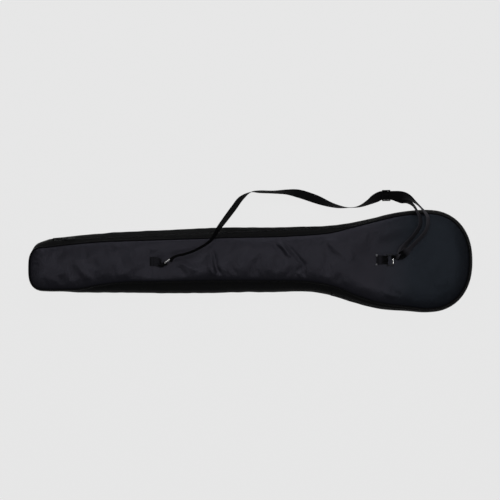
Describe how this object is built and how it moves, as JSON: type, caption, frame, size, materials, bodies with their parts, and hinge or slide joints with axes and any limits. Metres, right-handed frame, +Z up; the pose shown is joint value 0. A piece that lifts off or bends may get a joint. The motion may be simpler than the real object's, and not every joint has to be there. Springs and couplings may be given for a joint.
{
  "type": "padded carrying bag",
  "caption": "Long soft padded carrying bag, narrow at one end and wide and rounded at the other, with a side zip and an adjustable shoulder strap.",
  "frame": {"origin": "on the floor, on the underside of the back panel, half way along the bag and under the middle of its wide end's width", "axes": "+X from the narrow end to the wide end, +Y to the side that the zip runs along, +Z up through the front panel"},
  "size_m": [1.2013, 0.3341, 0.0797],
  "materials": {
    "fabric": "black woven nylon",
    "foam": "dark grey padding, hidden between cloths",
    "lining": "thin dark lining cloth and seam binding",
    "webbing": "black woven webbing",
    "piping": "black cloth-covered cord",
    "zip": "black coil zip and tape",
    "slider": "black painted zip hardware",
    "steel": "nickel-plated wire",
    "buckle": "black moulded plastic",
    "thread": "black sewing thread"
  },
  "bodies": {
    "bag": {"back_panel": "fabric", "back_foam": "foam", "back_lining": "lining", "back_piping": "piping", "back_seam_binding": "lining", "front_panel": "fabric", "front_foam": "foam", "front_lining": "lining", "front_piping": "piping", "front_seam_binding": "lining", "plain_side_wall": "fabric", "shaft_zip_skirt": "fabric", "shaft_zip_wall": "fabric", "head_zip_wall": "fabric", "lower_zip_tape": "zip", "lower_zip_coil": "zip", "upper_zip_tape": "zip", "upper_zip_coil": "zip", "zip_stop_upper": "slider", "zip_stop_lower": "slider", "zip_stop_open_end": "slider", "left_tab": "webbing", "left_tab_stitching_outer": "thread", "left_tab_stitching_inner": "thread", "strap_main": "webbing"},
    "flap": {"flap_panel": "fabric", "flap_foam": "foam", "flap_lining": "lining", "flap_piping": "piping", "flap_seam_binding": "lining", "flap_zip_skirt": "fabric", "flap_zip_tape": "zip", "flap_zip_coil": "zip", "right_tab": "webbing", "right_tab_stitching_outer": "thread", "right_tab_stitching_inner": "thread", "strap_outer_run": "webbing", "strap_return_run": "webbing"},
    "zip_slider": {"zip_slider": "slider"},
    "zip_pull": {"zip_pull": "slider"},
    "left_ring": {"left_ring": "steel", "strap_left_loop": "webbing"},
    "right_ring": {"right_ring": "steel", "strap_right_loop": "webbing"},
    "strap_adjuster": {"strap_adjuster": "buckle"}
  },
  "joints": [
    {"name": "flap_fold", "type": "hinge", "parent": "bag", "child": "flap", "pos_m": [0.225, 0, 0.0482], "axis": [0, -1, 0], "range_deg": [0, 135]},
    {"name": "zip_slider_slide", "type": "slide", "parent": "bag", "child": "zip_slider", "axis": [0.999, 0.0445, 0], "range_m": [0, 0.7]},
    {"name": "zip_pull_hinge", "type": "hinge", "parent": "zip_slider", "child": "zip_pull", "pos_m": [-0.50015, 0.0575, 0.03696], "axis": [0.0315, -0.7064, 0.7071], "range_deg": [0, 170]},
    {"name": "left_ring_hinge", "type": "hinge", "parent": "bag", "child": "left_ring", "pos_m": [-0.2262, -0.01, 0.0641], "axis": [0.1485, -0.212, -0.9659], "range_deg": [0, 60]},
    {"name": "right_ring_hinge", "type": "hinge", "parent": "flap", "child": "right_ring", "pos_m": [0.369, 0, 0.0518], "axis": [0, -1, 0], "range_deg": [0, 75]},
    {"name": "strap_adjuster_slide", "type": "slide", "parent": "flap", "child": "strap_adjuster", "axis": [0.9998, 0.02, 0], "range_m": [0, 0.012]}
  ]
}
